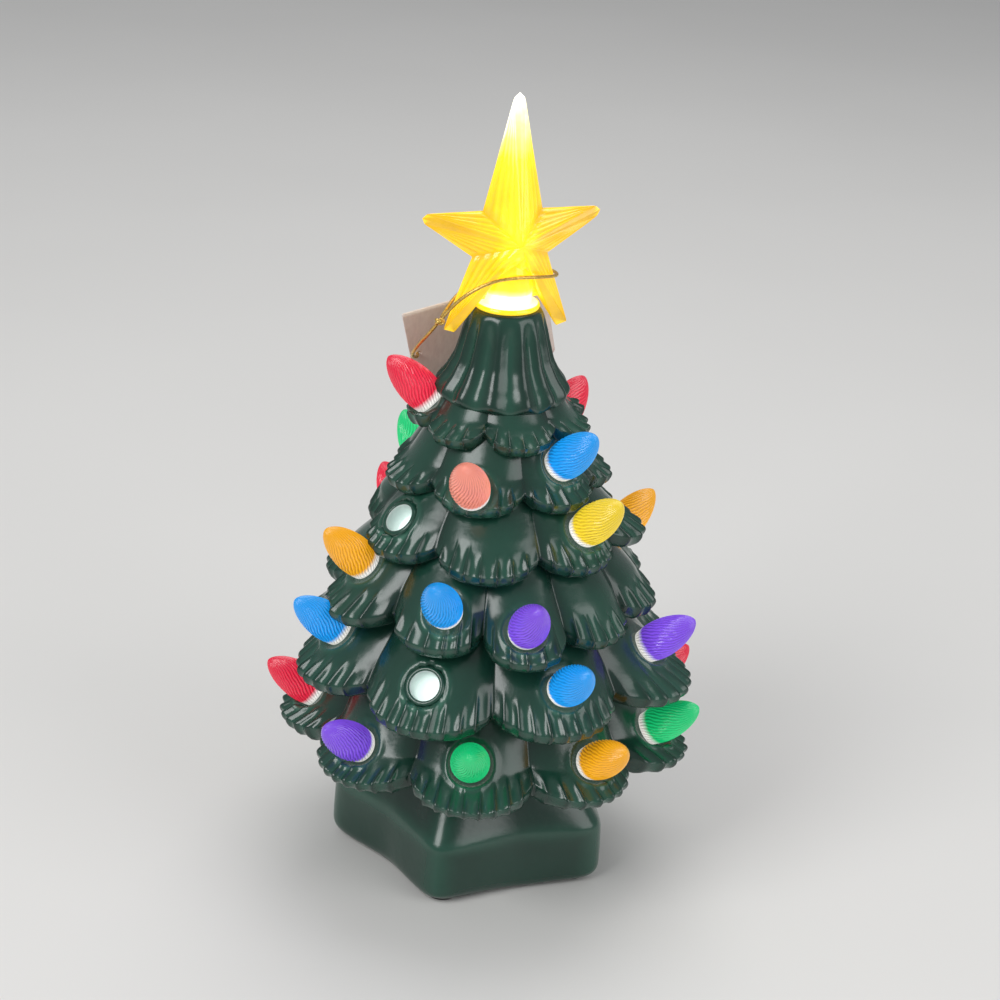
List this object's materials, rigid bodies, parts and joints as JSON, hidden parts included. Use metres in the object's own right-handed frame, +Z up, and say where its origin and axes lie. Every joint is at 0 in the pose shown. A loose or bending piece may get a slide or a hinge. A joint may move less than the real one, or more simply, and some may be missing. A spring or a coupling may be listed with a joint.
{
  "type": "ceramic christmas tree",
  "caption": "Tabletop ceramic christmas tree: tiered green hollow tree with push-in coloured bulbs and an amber star, lifting off a star-shaped foot that holds a battery lamp.",
  "frame": {"origin": "on the surface that the pads stand on, at the tree's axis", "axes": "+Z up along the tree's axis, -Y towards the front, +X to the right seen from the front"},
  "size_m": [0.1321, 0.1304, 0.239],
  "materials": {
    "green_glaze": "glossy dark green glaze",
    "pad_rubber": "matte",
    "case_plastic": "fine moulded texture",
    "screw_steel": "plated",
    "cell_wrap": "plain wrap",
    "contact_metal": "nickel plated",
    "switch_plastic": "moulded",
    "lamp_plastic": "moulded",
    "board": "white solder mask",
    "led_light": "lit",
    "dome_plastic": "milky, lit from inside",
    "wire_red": "sheathed",
    "wire_black": "sheathed",
    "amber_plastic": "see-through, lit from inside",
    "card": "plain, uncoated",
    "gold_cord": "metallic thread over elastic",
    "bulb_red": "fluted, lit through its peg",
    "bulb_green": "fluted, lit through its peg",
    "bulb_blue": "fluted, lit through its peg",
    "bulb_orange": "fluted, lit through its peg",
    "bulb_purple": "fluted, lit through its peg",
    "bulb_yellow": "fluted, lit through its peg",
    "bulb_pink": "fluted, lit through its peg"
  },
  "bodies": {
    "foot": {"star_foot": "green_glaze", "foot_pads": "pad_rubber", "battery_case": "case_plastic", "battery_cell_1": "cell_wrap", "battery_cell_2": "cell_wrap", "contact_bridge": "contact_metal", "contact_positive": "contact_metal", "contact_negative": "contact_metal", "switch_body": "switch_plastic", "lamp_pedestal": "lamp_plastic", "led_board": "board", "led_chips": "led_light", "diffuser_dome": "dome_plastic", "wire_positive": "wire_red", "wire_negative": "wire_black", "wire_switched": "wire_black"},
    "door": {"battery_door": "case_plastic", "door_screw": "screw_steel"},
    "switch": {"switch_slider": "switch_plastic"},
    "tree": {"shell_tier_1": "green_glaze", "shell_tier_2": "green_glaze", "shell_tier_3": "green_glaze", "shell_tier_4": "green_glaze", "shell_top": "green_glaze", "socket_rim_low": "green_glaze", "socket_rim_high": "green_glaze", "bulb_1_1": "bulb_red", "bulb_1_2": "bulb_blue", "bulb_1_3": "bulb_purple", "bulb_1_4": "bulb_yellow", "bulb_1_5": "bulb_red", "bulb_1_6": "bulb_purple", "bulb_1_7": "bulb_green", "bulb_1_8": "bulb_orange", "bulb_1_9": "bulb_green", "bulb_2_1": "bulb_orange", "bulb_2_2": "bulb_green", "bulb_2_3": "bulb_blue", "bulb_2_4": "bulb_blue", "bulb_2_5": "bulb_purple", "bulb_3_1": "bulb_orange", "bulb_3_2": "bulb_purple", "bulb_3_3": "bulb_green", "bulb_3_4": "bulb_red", "bulb_3_5": "bulb_orange", "bulb_3_6": "bulb_blue", "bulb_3_7": "bulb_purple", "bulb_4_1": "bulb_blue", "bulb_4_2": "bulb_green", "bulb_4_3": "bulb_yellow", "bulb_5_1": "bulb_red", "bulb_5_2": "bulb_yellow", "bulb_5_3": "bulb_pink", "bulb_5_4": "bulb_blue", "bulb_6_1": "bulb_red"},
    "star": {"star_topper": "amber_plastic", "hang_tag": "card", "cord_knot": "gold_cord", "cord_tail": "gold_cord", "cord_loop": "gold_cord"}
  },
  "joints": [
    {"name": "tree_lift", "type": "slide", "parent": "foot", "child": "tree", "axis": [0, 0, 1], "range_m": [0, 0.06]},
    {"name": "star_lift", "type": "slide", "parent": "tree", "child": "star", "axis": [0, 0, 1], "range_m": [0, 0.03]},
    {"name": "door_hinge", "type": "hinge", "parent": "foot", "child": "door", "pos_m": [-0.02385, 0, 0.0029], "axis": [0, 1, 0], "range_deg": [0, 95]},
    {"name": "switch_slide", "type": "slide", "parent": "foot", "child": "switch", "axis": [1, 0, 0], "range_m": [-0.004, 0]}
  ]
}
